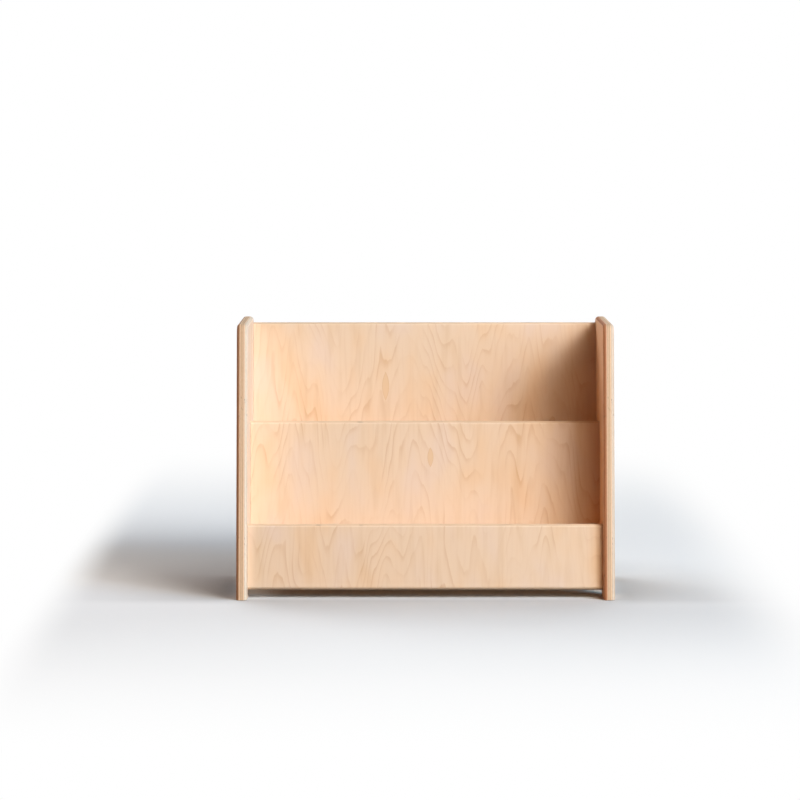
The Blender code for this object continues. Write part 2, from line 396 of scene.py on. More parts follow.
@dataclass(frozen=True)
class Plywood:
    """Clear-lacquered plywood: a rotary-cut maple veneer over a birch core that shows on the edges."""

    name: str
    seed: float
    repairs: tuple[Repair, ...] = ()

    # Colours of the face: the veneer, and what multiplies it
    veneer: Colour = (0.875, 0.644, 0.456)
    growth_line: Colour = (0.88, 0.79, 0.685)
    streak: Colour = (0.965, 0.945, 0.92)
    cloud: Colour = (0.955, 0.925, 0.875)
    warm_patch: Colour = (1.0, 0.945, 0.86)
    pale_patch: Colour = (0.985, 1.005, 1.09)
    # Paler, whiter arris where the rounding cuts through the veneer: partly sanding, partly a painted
    # highlight along every edge
    sanded_and_highlit_edge: Colour = (1.06, 1.10, 1.14)
    repair_wood: Colour = (0.94, 0.865, 0.73)
    repair_joint: Colour = (0.89, 0.83, 0.76)

    # Colours of the core: plies, glue and voids, and what multiplies the plies; the two outermost tints are
    # painted shade and painted light
    long_ply: Colour = (0.965, 0.720, 0.520)
    cross_ply: Colour = (0.925, 0.670, 0.470)
    glue: Colour = (0.42, 0.26, 0.15)
    void: Colour = (0.16, 0.085, 0.045)
    heart_plies: Colour = (0.83, 0.80, 0.75)
    low_side_painted_shade: Colour = (1.0, 1.0, 1.0)
    high_side_painted_light: Colour = (1.0, 1.0, 1.0)
    drab_strip: Colour = (0.91, 0.91, 0.87)
    core_fibre: Colour = (0.93, 0.90, 0.87)

    # Growth rings on the face: arches side by side, which slower and faster noise bends
    arch_width: float = 0.212
    arch_place: float = -0.032
    arch_rings: float = 2.4
    peak_gap: float = 0.050
    sway: Figure = Figure(6.0, 2.5, 4.0)
    sway_reach: float = 0.16
    swirl: Figure = Figure(24.0, 3.0, 9.0, 1.0)
    swirl_rings: float = 6.5
    wiggle: Figure = Figure(75.0, 12.0, 14.0)
    wiggle_rings: float = 0.8
    late_wood: Span = (0.62, 0.92)
    late_wood_share: float = 0.55
    presence: Figure = Figure(23.0, 9.0, 19.0, levels=(0.40, 0.70))
    faintest_line: float = 0.1

    # Streaks, clouds, patches and pores of the face
    streaks: Figure = Figure(240.0, 11.0, 24.0, 3.0, (0.45, 0.80))
    clouds: Figure = Figure(62.0, 8.0, 34.0, levels=(0.48, 0.74))
    patches: Figure = Figure(15.0, 7.0, 29.0)
    warm_levels: Span = (0.50, 0.72)
    pale_levels: Span = (0.30, 0.50)
    pores: Figure = Figure(1400.0, 45.0, detail=1.0)
    pore_strength: float = 0.12
    pore_depth: float = 0.0003
    second_face: float = 3.7
    sanded_highlight_depths: Span = (0.00012, 0.00002)

    # Repairs; the spans are shares of the way from a repair's middle to its rim
    repair_rim: Span = (0.94, 1.0)
    repair_joint_from: Span = (0.78, 0.94)
    repair_cover: float = 0.75

    # Plies, with places through the thickness from its middle
    veneer_thickness: float = 0.0006
    core_plies: int = 11
    heart_until: Span = (0.0022, 0.0030)
    low_side_shade_from: Span = (0.0040, 0.0060)
    high_side_light_from: Span = (0.0036, 0.0050)
    seam_from: Span = (0.42, 0.50)
    seam_strength: float = 0.35
    fibre: Figure = Figure(60.0, 190.0, levels=(0.35, 0.75))
    fibre_change: float = 1.3
    void_cells: Span = (30.0, 85.0)
    void_reach: Span = (0.10, 0.22)
    void_rarity: float = 0.72

    # Strips that each ply is laid up from; odd factors give each strip a number of its own
    strip_length: float = 0.25
    strip_shifts: Span = (5.0, 9.0)
    strip_factors: Span = (13.0, 29.0)
    ply_factor: float = 7.0

    # Lacquer
    roughness: float = 0.55
    roughness_change: float = 0.08
    specular: float = 0.50
    lacquer: float = 0.20
    lacquer_roughness: float = 0.45

    def material(self, axes: BoardAxes) -> bpy.types.Material:
        """Makes the finish for one board.

        Args:
            axes: How the board lies.

        Returns:
            The material.
        """
        made, graph = new_material(self.name)
        turn = Matrix.Rotation(axes.turn, 3, "X")
        sockets = {
            "Vector": graph.node("ShaderNodeTexCoord", output="Object"),
            "Location": -(turn @ axes.middle),
            "Rotation": (axes.turn, 0.0, 0.0),
        }
        parts = graph.split(graph.node("ShaderNodeMapping", {}, sockets))
        across, along, through = (parts[axis] for axis in axes.grain.value)
        face = WoodPlace(graph, across, along, (through > 0.0) * self.second_face + self.seed)
        half = axes.thickness / 2.0
        # Painted highlight, partly sanding: the veneer turns paler and whiter where the rounding cuts into it
        sanded_highlight = 1.0 - graph.step(abs(through), *(half - depth for depth in self.sanded_highlight_depths))
        streaks = face.noise(self.streaks)
        veneer = graph.tint(self._veneer(face, streaks), sanded_highlight, self.sanded_and_highlit_edge)
        core, in_core = self._core(face, through, axes.thickness)
        graph.principled(
            {
                "Base Color": graph.mix(in_core, veneer, core),
                "Roughness": (streaks + in_core - 0.5) * self.roughness_change + self.roughness,
                "Specular IOR Level": self.specular,
                "Coat Weight": self.lacquer,
                "Coat Roughness": self.lacquer_roughness,
                "Normal": graph.bump(face.noise(self.pores), self.pore_strength, self.pore_depth),
            }
        )
        return made

    def _veneer(self, face: WoodPlace, streaks: Wire) -> Wire:
        """Colours the face veneer.

        Args:
            face: The place on the face.
            streaks: The noise of the fine streaks.

        Returns:
            The colour.
        """
        graph = face.graph
        patches = face.noise(self.patches)
        colour = graph.tint(self.veneer, graph.step(patches, *self.warm_levels), self.warm_patch)
        colour = graph.tint(colour, 1.0 - graph.step(patches, *self.pale_levels), self.pale_patch)
        colour = graph.tint(colour, graph.step(streaks, *self.streaks.levels), self.streak)
        colour = graph.tint(colour, face.mask(self.clouds), self.cloud)
        colour = graph.tint(colour, self._growth_lines(face), self.growth_line)
        for repair in self.repairs:
            colour = self._let_in(face, colour, repair)
        return colour

    def _growth_lines(self, face: WoodPlace) -> Wire:
        """Draws the rings that a rotary cut opens: each darkens slowly, then fast, and ends at once.

        Args:
            face: The place on the face.

        Returns:
            How dark the line is, from nought to one.
        """
        graph = face.graph
        sway = (face.noise(self.sway) - 0.5) * self.sway_reach
        swirl = (face.noise(self.swirl) - 0.5) * self.swirl_rings
        wiggle = (face.noise(self.wiggle) - 0.5) * self.wiggle_rings
        turns = (face.across - self.arch_place + sway) * (2.0 * pi / self.arch_width)
        arch = graph.node("ShaderNodeMath", {"operation": "COSINE"}, {0: turns})
        ring = (face.along / self.peak_gap - arch * self.arch_rings + swirl + wiggle) % 1.0
        late = graph.step(ring, *self.late_wood) * self.late_wood_share
        early = ring * ring * (1.0 - self.late_wood_share)
        line = (late + early) * (1.0 - graph.step(ring, self.late_wood[1], 1.0))
        return line * (face.mask(self.presence) * (1.0 - self.faintest_line) + self.faintest_line)

    def _let_in(self, face: WoodPlace, colour: Wire, repair: Repair) -> Wire:
        """Colours one repair, with a fine dark joint round it.

        Args:
            face: The place on the face.
            colour: The veneer round it.
            repair: The repair's place and size.

        Returns:
            The veneer with the repair.
        """
        graph = face.graph
        sideways = abs(face.across - repair.across) / (repair.width / 2.0)
        endways = (face.along - repair.along) / (repair.length / 2.0)
        from_middle = sideways + endways * endways
        inside = 1.0 - graph.step(from_middle, *self.repair_rim)
        joint = graph.step(from_middle, *self.repair_joint_from) * inside
        plain = graph.mix(inside * self.repair_cover, colour, self.veneer)
        return graph.tint(graph.tint(plain, inside, self.repair_wood), joint, self.repair_joint)

    def _core(self, face: WoodPlace, through: Wire, thickness: float) -> tuple[Wire, Wire]:
        """Colours the plies that show where an edge is cut, with painted shade toward one face and painted
        light toward the other.

        Args:
            face: The place across and along the grain of the face.
            through: The place through the thickness, from its middle.
            thickness: The board's thickness.

        Returns:
            The colour, and where the core shows from nought to one.
        """
        graph = face.graph
        core = thickness - 2.0 * self.veneer_thickness
        plies = through * (self.core_plies / core) + self.core_plies / 2.0
        number = floor(plies)
        crossed = 1.0 - number % 2.0
        inside = replace(face, seed=plies * self.fibre_change + self.seed)
        colour = graph.mix(crossed, self.long_ply, self.cross_ply)
        colour = graph.tint(colour, self._strip_tone(face, number), self.drab_strip)
        colour = graph.tint(colour, inside.mask(self.fibre), self.core_fibre)
        colour = graph.tint(colour, 1.0 - graph.step(abs(through), *self.heart_until), self.heart_plies)
        # Painted shade on the plies toward the low face and painted light toward the high face, where the
        # side panels' edges turn away from and toward the key light
        colour = graph.tint(colour, graph.step(-through, *self.low_side_shade_from), self.low_side_painted_shade)
        colour = graph.tint(colour, graph.step(through, *self.high_side_light_from), self.high_side_painted_light)
        seam = graph.step(abs(plies % 1.0 - 0.5), *self.seam_from)
        colour = graph.mix(seam * self.seam_strength, colour, self.glue)
        in_core = 1.0 - graph.step(abs(through), core / 2.0 - NEAR, core / 2.0 + NEAR)
        return graph.mix(self._voids(face, plies) * crossed, colour, self.void), in_core

    def _strip_tone(self, face: WoodPlace, number: Wire) -> Wire:
        """Picks a tone for each strip of a ply.

        Args:
            face: The place across and along the grain of the face.
            number: The ply's number.

        Returns:
            The tone, from nought to one.
        """
        luck = face.graph.chance(number + self.seed)
        strips = [
            floor(place / self.strip_length + luck * shift) * factor
            for place, shift, factor in zip((face.across, face.along), self.strip_shifts, self.strip_factors)
        ]
        return face.graph.chance(strips[0] + strips[1] + number * self.ply_factor + self.seed)

    def _voids(self, face: WoodPlace, plies: Wire) -> Wire:
        """Places small voids in a few of the cells that the plies are split into.

        Args:
            face: The place across and along the grain of the face.
            plies: The place through the thickness, in plies.

        Returns:
            One in a void, and nought elsewhere.
        """
        graph = face.graph
        across, along = self.void_cells
        cells = graph.join(face.across * across, face.along * along, plies)
        from_middle = graph.node("ShaderNodeTexVoronoi", {}, {"Vector": cells, "Scale": 1.0})
        luck = graph.node("ShaderNodeSeparateColor", {}, {0: from_middle.other("Color")})
        return (1.0 - graph.step(from_middle, *self.void_reach)) * (luck > self.void_rarity)


@dataclass(frozen=True)
class Steel:
    """Zinc-plated steel with dull clouds and fine turning marks."""

    name: str
    plate: Colour = (0.62, 0.61, 0.585)
    dull: Colour = (0.50, 0.49, 0.47)
    dull_levels: Span = (0.35, 0.75)
    clouds: Scale = (420.0, 420.0, 420.0)
    cloud_roughness: float = 0.18
    marks: Scale = (300.0, 5200.0, 5200.0)
    mark_roughness: float = 0.10
    mark_strength: float = 0.10
    mark_depth: float = 0.0001
    least_roughness: float = 0.20

    def material(self) -> bpy.types.Material:
        """Makes the finish.

        Returns:
            The material.
        """
        made, graph = new_material(self.name)
        place = graph.node("ShaderNodeTexCoord", output="Object")
        clouds = graph.noise(graph.scaled(place, self.clouds), detail=3.0)
        marks = graph.noise(graph.scaled(place, self.marks), detail=1.0)
        roughness = clouds * self.cloud_roughness + marks * self.mark_roughness + self.least_roughness
        graph.principled(
            {
                "Base Color": graph.mix(graph.step(clouds, *self.dull_levels), self.plate, self.dull),
                "Metallic": 1.0,
                "Roughness": roughness,
                "Normal": graph.bump(marks, self.mark_strength, self.mark_depth),
            }
        )
        return made


@dataclass(frozen=True)
class Beech:
    """Raw turned beech with its short dark rays."""

    name: str
    wood: Colour = (0.66, 0.45, 0.28)
    late_wood: float = 0.82
    grain: Scale = (40.0, 900.0, 900.0)
    grain_strength: float = 0.2
    grain_depth: float = 0.0002
    grain_roughness: float = 0.15
    least_roughness: float = 0.55
    ray: Colour = (0.62, 0.50, 0.40)
    rays: Scale = (420.0, 2600.0, 2600.0)
    ray_levels: Span = (0.60, 0.72)

    def material(self) -> bpy.types.Material:
        """Makes the finish.

        Returns:
            The material.
        """
        made, graph = new_material(self.name)
        place = graph.node("ShaderNodeTexCoord", output="Object")
        grain = graph.noise(graph.scaled(place, self.grain), detail=3.0)
        rays = graph.noise(graph.scaled(place, self.rays), detail=1.0)
        colour = graph.mix(grain, self.wood, tuple(part * self.late_wood for part in self.wood))
        graph.principled(
            {
                "Base Color": graph.tint(colour, graph.step(rays, *self.ray_levels), self.ray),
                "Roughness": grain * self.grain_roughness + self.least_roughness,
                "Normal": graph.bump(grain, self.grain_strength, self.grain_depth),
            }
        )
        return made


class Bench:
    """Modelling steps, each as it would be done by hand."""

    @staticmethod
    def clear_selection() -> None:
        """Deselects every object."""
        bpy.ops.object.select_all(action="DESELECT")

    @classmethod
    def pick(cls, piece: bpy.types.Object) -> None:
        """Selects one piece alone, and makes it the active one."""
        cls.clear_selection()
        bpy.context.view_layer.objects.active = piece
        piece.select_set(True)

    @staticmethod
    def take(name: str) -> bpy.types.Object:
        """Names the primitive that was just added, and puts its place into its mesh.

        Args:
            name: The piece's name.

        Returns:
            The piece.
        """
        piece = bpy.context.active_object
        piece.name = name
        piece.data.name = name
        bpy.ops.object.transform_apply(location=True, rotation=True, scale=True)
        return piece

    @classmethod
    def box(cls, name: str, centre: Vector, size: Vector, turn: float = 0.0) -> bpy.types.Object:
        """Adds a box.

        Args:
            name: The piece's name.
            centre: Its middle.
            size: Its lengths along its own axes.
            turn: Its turn about X.

        Returns:
            The box, with its place in its mesh.
        """
        cls.clear_selection()
        bpy.ops.mesh.primitive_cube_add(size=1.0, location=centre, rotation=(turn, 0.0, 0.0))
        bpy.context.active_object.scale = size
        return cls.take(name)

    @classmethod
    def turned(cls, name: str, profile: list[Span], sides: int) -> bpy.types.Object:
        """Builds a round piece up from a disc by extruding and scaling it.

        Args:
            name: The piece's name.
            profile: (radius, height) pairs, from the bottom up.
            sides: How many sides the round has.

        Returns:
            The piece, standing on the Z axis.
        """
        cls.clear_selection()
        radius, height = profile[0]
        place = (0.0, 0.0, height)
        bpy.ops.mesh.primitive_circle_add(vertices=sides, radius=radius, fill_type="NGON", location=place)
        piece = cls.take(name)
        with cls.editing(piece):
            bpy.ops.mesh.select_all(action="SELECT")
            for new_radius, new_height in profile[1:]:
                rise = {"value": (0.0, 0.0, new_height - height)}
                bpy.ops.mesh.extrude_region_move(TRANSFORM_OT_translate=rise)
                ratio = new_radius / radius
                bpy.ops.transform.resize(value=(ratio, ratio, 1.0))
                radius, height = new_radius, new_height
            cls.face_outwards()
        return piece

    @staticmethod
    @contextmanager
    def editing(piece: bpy.types.Object) -> Iterator[None]:
        """Opens a piece in edit mode for a while, with nothing selected.

        Args:
            piece: The piece to edit.
        """
        Bench.pick(piece)
        bpy.ops.object.mode_set(mode="EDIT")
        bpy.ops.mesh.select_all(action="DESELECT")
        yield
        bpy.ops.object.mode_set(mode="OBJECT")

    @staticmethod
    def face_outwards() -> None:
        """Turns every face of the piece in edit mode outwards."""
        bpy.ops.mesh.select_all(action="SELECT")
        bpy.ops.mesh.normals_make_consistent(inside=False)

    @staticmethod
    def select_edges(piece: bpy.types.Object, wanted: Callable[[Vector, Vector], bool]) -> None:
        """Selects the edges whose two ends pass a test.

        Args:
            piece: The piece in edit mode.
            wanted: The test.
        """
        bpy.ops.mesh.select_mode(type="EDGE")
        bpy.ops.mesh.select_all(action="DESELECT")
        mesh = bmesh.from_edit_mesh(piece.data)
        for edge in mesh.edges:
            edge.select_set(wanted(edge.verts[0].co, edge.verts[1].co))
        bmesh.update_edit_mesh(piece.data)

    @staticmethod
    def bevel(width: float, segments: int) -> None:
        """Rounds the selected edges."""
        bpy.ops.mesh.bevel(offset=width, segments=segments, profile=0.5, affect="EDGES", clamp_overlap=False)

    @classmethod
    def cut(cls, piece: bpy.types.Object, cutter: bpy.types.Object) -> None:
        """Cuts a shape out of a piece, and throws the shape away.

        Args:
            piece: The piece to cut.
            cutter: The shape.
        """
        cls.pick(piece)
        modifier = piece.modifiers.new("Cut", "BOOLEAN")
        modifier.operation = "DIFFERENCE"
        modifier.solver = "EXACT"
        modifier.object = cutter
        bpy.ops.object.modifier_apply(modifier=modifier.name)
        bpy.data.objects.remove(cutter, do_unlink=True)

    @staticmethod
    def copy(master: bpy.types.Object, name: str, matrix: Matrix) -> bpy.types.Object:
        """Copies a piece, with a mesh of its own.

        Args:
            master: The piece to copy.
            name: The copy's name.
            matrix: Takes the mesh to its place.

        Returns:
            The copy.
        """
        piece = master.copy()
        piece.data = master.data.copy()
        piece.name = name
        piece.data.name = name
        piece.data.transform(matrix)
        bpy.context.scene.collection.objects.link(piece)
        return piece

    @classmethod
    def smooth(cls, piece: bpy.types.Object) -> None:
        """Shades a piece smooth over its roundings and flat on its faces.

        Args:
            piece: The piece to shade.
        """
        cls.pick(piece)
        bpy.ops.object.shade_smooth_by_angle(angle=SMOOTH_ANGLE)
        modifier = piece.modifiers.new("Flat faces", "WEIGHTED_NORMAL")
        modifier.keep_sharp = True
        bpy.ops.object.modifier_apply(modifier=modifier.name)


def dress(piece: bpy.types.Object, node: str, slot: Slot, material: bpy.types.Material) -> None:
    """Gives a piece its finish and puts it in the place of its CAD node.

    Args:
        piece: The finished mesh.
        node: The CAD node that it stands for.
        slot: The kind of finish, named in the log.
        material: The finish.
    """
    piece.data.materials.clear()
    piece.data.materials.append(material)
    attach(piece, BODY)
    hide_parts(node)
    log.info("%s: %d faces, %s", piece.name, len(piece.data.polygons), slot.value)


def eased_mouth(radius: float, face: float) -> list[Span]:
    """Gives the upper end of a hole's profile, eased at the board's face and on past it.

    Args:
        radius: The hole's radius.
        face: The height of the board's face.

    Returns:
        (radius, height) pairs, from the bottom up.
    """
    mouth = radius + RIM_EASE
    return [(radius, face - RIM_EASE), (mouth, face), (mouth, face + CUT_OVERRUN)]


@dataclass
class Hardware:
    """Fasteners of one kind: their sizes, and the places where copies of one master go."""

    frame: LeaningFrame
    nodes: list[str]
    sides: int = 24
    rounding_steps: int = 3
    turn_step: float = radians(23.0)

    word: ClassVar[str] = ""
    slot: ClassVar[Slot]

    def __post_init__(self) -> None:
        """Picks the nodes of this kind, and reads their length along X."""
        self.nodes = sorted(node for node in self.nodes if self.word in node)
        low, high = self.frame.box(self.nodes[0])
        self.length = high.x - low.x

    def model(self) -> bpy.types.Object:
        """Models one fastener on the Z axis."""
        raise NotImplementedError

    def model_hole(self) -> bpy.types.Object:
        """Models the shape of its hole on the Z axis."""
        raise NotImplementedError

    def place(self, node: str) -> Matrix:
        """Lays a fastener along X where its node is, with its top at the outer end.

        Args:
            node: The fastener's node.

        Returns:
            The matrix that takes it there from the Z axis.
        """
        low, high = self.frame.box(node)
        middle = (low + high) / 2.0
        sign = end_of(node).value
        inner = min(abs(low.x), abs(high.x)) * sign
        lay = Matrix.Rotation(sign * pi / 2.0, 4, "Y")
        return self.frame.matrix @ Matrix.Translation((inner, middle.y, middle.z)) @ lay

    def turn(self, node: str) -> Matrix:
        """Turns each fastener a little differently about its own axis, as it was tightened."""
        return Matrix.Rotation(self.turn_step * self.nodes.index(node), 4, "Z")

    def drill(self, board: bpy.types.Object, nodes: list[str]) -> None:
        """Drills the holes of some of the fasteners into a board.

        Args:
            board: The board to drill.
            nodes: The nodes of the fasteners whose holes it gets.
        """
        master = self.model_hole()
        for node in nodes:
            Bench.cut(board, Bench.copy(master, node + "_hole", self.place(node)))
        bpy.data.objects.remove(master, do_unlink=True)

    def build(self) -> dict[str, bpy.types.Object]:
        """Models the master, and copies it to each place.

        Returns:
            The finished pieces, by the node that each stands for.
        """
        master = self.model()
        Bench.smooth(master)
        pieces = {}
        for node in self.nodes:
            pieces[node] = Bench.copy(master, node + "_finished", self.place(node) @ self.turn(node))
        bpy.data.objects.remove(master, do_unlink=True)
        return pieces

    def dress(self, pieces: dict[str, bpy.types.Object], material: bpy.types.Material) -> None:
        """Gives each piece its finish."""
        for node, piece in pieces.items():
            dress(piece, node, self.slot, material)


@dataclass
class ConnectorBolts(Hardware):
    """Furniture connector bolts with a wide flat head and a hexagon socket."""

    head_diameter: float = 0.012
    head_height: float = 0.0045
    head_recess: float = 0.0008
    shank_diameter: float = 0.006
    socket_sides: int = 6
    socket_width: float = 0.004
    socket_depth: float = 0.0025
    tip_chamfer: float = 0.0008
    head_rounding: float = 0.0007
    thread_pitch: float = 0.001
    thread_depth: float = 0.00035
    thread_length: float = 0.020

    word: ClassVar[str] = "_bolt_"
    slot: ClassVar[Slot] = Slot.BOLT

    def model(self) -> bpy.types.Object:
        """Models the bolt: grooved tip, shank, rounded head and socket.

        Returns:
            The master, on the Z axis.
        """
        shank = self.shank_diameter / 2.0
        head = self.head_diameter / 2.0
        seat = self.length - self.head_height
        profile = [(shank - self.tip_chamfer, 0.0), (shank, self.tip_chamfer)]
        for groove in range(int(self.thread_length / self.thread_pitch)):
            root = self.tip_chamfer + (groove + 0.5) * self.thread_pitch
            profile.append((shank - self.thread_depth, root))
            profile.append((shank, root + self.thread_pitch / 2.0))
        profile += [(shank, seat), (head, seat), (head, self.length)]
        bolt = Bench.turned("bolt_master", profile, self.sides)

        def is_head_rim(start: Vector, end: Vector) -> bool:
            """Tells the head's two rims."""
            level = min(start.z, end.z) > seat - NEAR and abs(start.z - end.z) < NEAR
            return level and min(start.xy.length, end.xy.length) > head - NEAR

        with Bench.editing(bolt):
            Bench.select_edges(bolt, is_head_rim)
            Bench.bevel(self.head_rounding, self.rounding_steps)
        corner = self.socket_width / 2.0 / cos(pi / self.socket_sides)
        mouth = corner + self.head_rounding
        profile = [
            (corner, self.length - self.socket_depth),
            (corner, self.length - self.head_rounding),
            (mouth, self.length),
            (mouth, self.length + CUT_OVERRUN),
        ]
        Bench.cut(bolt, Bench.turned("socket", profile, self.socket_sides))
        return bolt

    def model_hole(self) -> bpy.types.Object:
        """Models the stepped hole that the bolt goes in, eased at its rim.

        Returns:
            The hole's shape, on the Z axis.
        """
        shank = self.shank_diameter / 2.0 + FIT_GAP
        head = self.head_diameter / 2.0 + FIT_GAP
        seat = self.length - self.head_height - FIT_GAP
        profile = [(shank, -FIT_GAP), (shank, seat), (head, seat)]
        profile += eased_mouth(head, self.length + self.head_recess)
        return Bench.turned("bolt_hole", profile, self.sides)


@dataclass
class BarrelNuts(Hardware):
    """Steel barrel nuts with a driver slot, let into the boards' hidden faces."""

    diameter: float = 0.010
    recess: float = 0.002
    bore: float = 0.0066
    slot_width: float = 0.0012
    slot_depth: float = 0.0012
    rim_rounding: float = 0.0006

    word: ClassVar[str] = "_barrel_nut_"
    slot: ClassVar[Slot] = Slot.NUT

    @property
    def half(self) -> float:
        """Half a nut's length."""
        low, high = self.frame.box(self.nodes[0])
        return max(high.y - low.y, high.z - low.z) / 2.0

    def place(self, node: str) -> Matrix:
        """Points a nut at its board's hidden face: a panel's back or a shelf's underside.

        Args:
            node: The nut's node.

        Returns:
            The matrix that takes it there from the Z axis.
        """
        low, high = self.frame.box(node)
        turn = pi if "_shelf_" in node else -pi / 2.0
        return self.frame.matrix @ Matrix.Translation((low + high) / 2.0) @ Matrix.Rotation(turn, 4, "X")

    def turn(self, node: str) -> Matrix:
        """Leaves a nut's slot in line with its bolt."""
        return Matrix.Identity(4)

    def model(self) -> bpy.types.Object:
        """Models the nut: rounded rims, driver slot and cross bore.

        Returns:
            The master, on the Z axis.
        """
        radius = self.diameter / 2.0
        nut = Bench.turned("nut_master", [(radius, -self.half), (radius, self.half)], self.sides)

        def is_rim(start: Vector, end: Vector) -> bool:
            """Tells the rims of the nut's two ends."""
            return abs(start.z - end.z) < NEAR

        with Bench.editing(nut):
            Bench.select_edges(nut, is_rim)
            Bench.bevel(self.rim_rounding, self.rounding_steps)
        slot_size = Vector((2.0 * self.diameter, self.slot_width, 2.0 * self.slot_depth))
        Bench.cut(nut, Bench.box("slot", Vector((0.0, 0.0, self.half)), slot_size))
        bore_radius = self.bore / 2.0
        bore = Bench.turned("bore", [(bore_radius, -self.diameter), (bore_radius, self.diameter)], self.sides)
        bore.data.transform(Matrix.Rotation(pi / 2.0, 4, "Y"))
        Bench.cut(nut, bore)
        return nut

    def model_hole(self) -> bpy.types.Object:
        """Models the blind hole that the nut sits in, eased at its rim.

        Returns:
            The hole's shape, on the Z axis.
        """
        radius = self.diameter / 2.0 + FIT_GAP
        profile = [(radius, -self.half - FIT_GAP)]
        profile += eased_mouth(radius, self.half + self.recess)
        return Bench.turned("nut_hole", profile, self.sides)


@dataclass
class Dowels(Hardware):
    """Fluted beech dowels with chamfered ends."""

    diameter: float = 0.008
    chamfer: float = 0.0012
    flute_depth: float = 0.0004

    word: ClassVar[str] = "_dowel_"
    slot: ClassVar[Slot] = Slot.DOWEL

    def model(self) -> bpy.types.Object:
        """Models the dowel, with every other edge drawn in as a flute.

        Returns:
            The master, on the Z axis.
        """
        radius = self.diameter / 2.0
        profile = [
            (radius - self.chamfer, 0.0),
            (radius, self.chamfer),
            (radius, self.length - self.chamfer),
            (radius - self.chamfer, self.length),
        ]
        dowel = Bench.turned("dowel_master", profile, self.sides)
        step = 2.0 * pi / self.sides

        def is_flute(start: Vector, end: Vector) -> bool:
            """Tells every other upright edge."""
            upright = abs(start.z - end.z) > self.length / 2.0
            return upright and round(atan2(start.y, start.x) / step) % 2 == 0

        with Bench.editing(dowel):
            Bench.select_edges(dowel, is_flute)
            ratio = 1.0 - self.flute_depth / radius
            bpy.ops.transform.resize(value=(ratio, ratio, 1.0))
        return dowel

    def model_hole(self) -> bpy.types.Object:
        """Models the hole that the dowel has in side and board."""
        radius = self.diameter / 2.0 + FIT_GAP
        return Bench.turned("dowel_hole", [(radius, -FIT_GAP), (radius, self.length + FIT_GAP)], self.sides)


@dataclass
class SidePanel:
    """A side panel: leaning front, upright back, two feet with an arch between, rounded all round."""

    end: End
    finish: Plywood
    hardware: list[Hardware]
    rounding_steps: int = 8
    corner_steps: int = 10
    sole_steps: int = 2

    @property
    def node(self) -> str:
        """The CAD node that the panel stands for."""
        return self.end.word + "_side_panel"

    def build(self) -> bpy.types.Object:
        """Models the panel from a box, and drills it.

        Returns:
            The finished panel.
        """
        low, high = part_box(self.node)
        panel = Bench.box(self.node + "_finished", (low + high) / 2.0, high - low)
        with Bench.editing(panel):
            bpy.ops.mesh.select_all(action="SELECT")
            bpy.ops.mesh.bisect(
                plane_co=(0.0, low.y, 0.0),
                plane_no=(0.0, -cos(LEAN), sin(LEAN)),
                use_fill=True,
                clear_outer=True,
            )
            for is_front, half_angle in ((True, (pi / 2.0 + LEAN) / 2.0), (False, pi / 4.0)):
                Bench.select_edges(panel, self._top_edge(high, is_front))
                Bench.bevel(CORNER_RADIUS / tan(half_angle), self.corner_steps)
        Bench.cut(panel, self._arch(low, high))
        with Bench.editing(panel):
            Bench.select_edges(panel, self._is_rim)
            Bench.bevel(EDGE_ROUNDING, self.rounding_steps)
            Bench.select_edges(panel, self._is_under_foot)
            Bench.bevel(SOLE_EASE, self.sole_steps)
            Bench.face_outwards()
        for kind in self.hardware:
            if not isinstance(kind, BarrelNuts):
                kind.drill(panel, [node for node in kind.nodes if end_of(node) is self.end])
        Bench.smooth(panel)
        return panel

    @staticmethod
    def _top_edge(high: Vector, is_front: bool) -> Callable[[Vector, Vector], bool]:
        """Gives the test for one of the two top edges.

        Args:
            high: The panel's highest corner.
            is_front: Whether the edge at the front is wanted.

        Returns:
            The test.
        """

        def wanted(start: Vector, end: Vector) -> bool:
            """Tells that edge."""
            runs_across = abs(start.x - end.x) > SIDE_THICKNESS / 2.0
            at_top = min(start.z, end.z) > high.z - NEAR
            return runs_across and at_top and (start.y < high.y - NEAR) == is_front

        return wanted

    @staticmethod
    def _is_under_foot(start: Vector, end: Vector) -> bool:
        """Tells the edges round the soles of the feet."""
        return max(start.z, end.z) < NEAR

    @classmethod
    def _is_rim(cls, start: Vector, end: Vector) -> bool:
        """Tells the outline's edges from those through the thickness and those under the feet."""
        on_one_face = abs(start.x - end.x) < NEAR
        return on_one_face and not cls._is_under_foot(start, end)

    def _arch(self, low: Vector, high: Vector) -> bpy.types.Object:
        """Makes the rounded block that is cut out between the feet.

        Args:
            low: The panel's lowest corner.
            high: The panel's highest corner.

        Returns:
            The block.
        """
        middle = Vector(((low.x + high.x) / 2.0, (low.y + high.y) / 2.0, 0.0))
        size = Vector((SIDE_THICKNESS + CUT_OVERRUN, high.y - low.y - 2.0 * FOOT_LENGTH, 2.0 * ARCH_HEIGHT))
        arch = Bench.box("arch", middle, size)

        def is_top(start: Vector, end: Vector) -> bool:
            """Tells the block's two upper edges through the thickness."""
            return abs(start.x - end.x) > SIDE_THICKNESS and min(start.z, end.z) > 0.0

        with Bench.editing(arch):
            Bench.select_edges(arch, is_top)
            Bench.bevel(ARCH_RADIUS, self.corner_steps)
        return arch

    @property
    def axes(self) -> BoardAxes:
        """How the panel lies."""
        low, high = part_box(self.node)
        middle = Vector(((low.x + high.x) / 2.0, 0.0, 0.0))
        return BoardAxes(0.0, middle, SIDE_THICKNESS, Grain.UPRIGHT_SIDE)

    def dress(self, panel: bpy.types.Object) -> None:
        """Gives the panel its plywood."""
        dress(panel, self.node, Slot.SIDE, self.finish.material(self.axes))


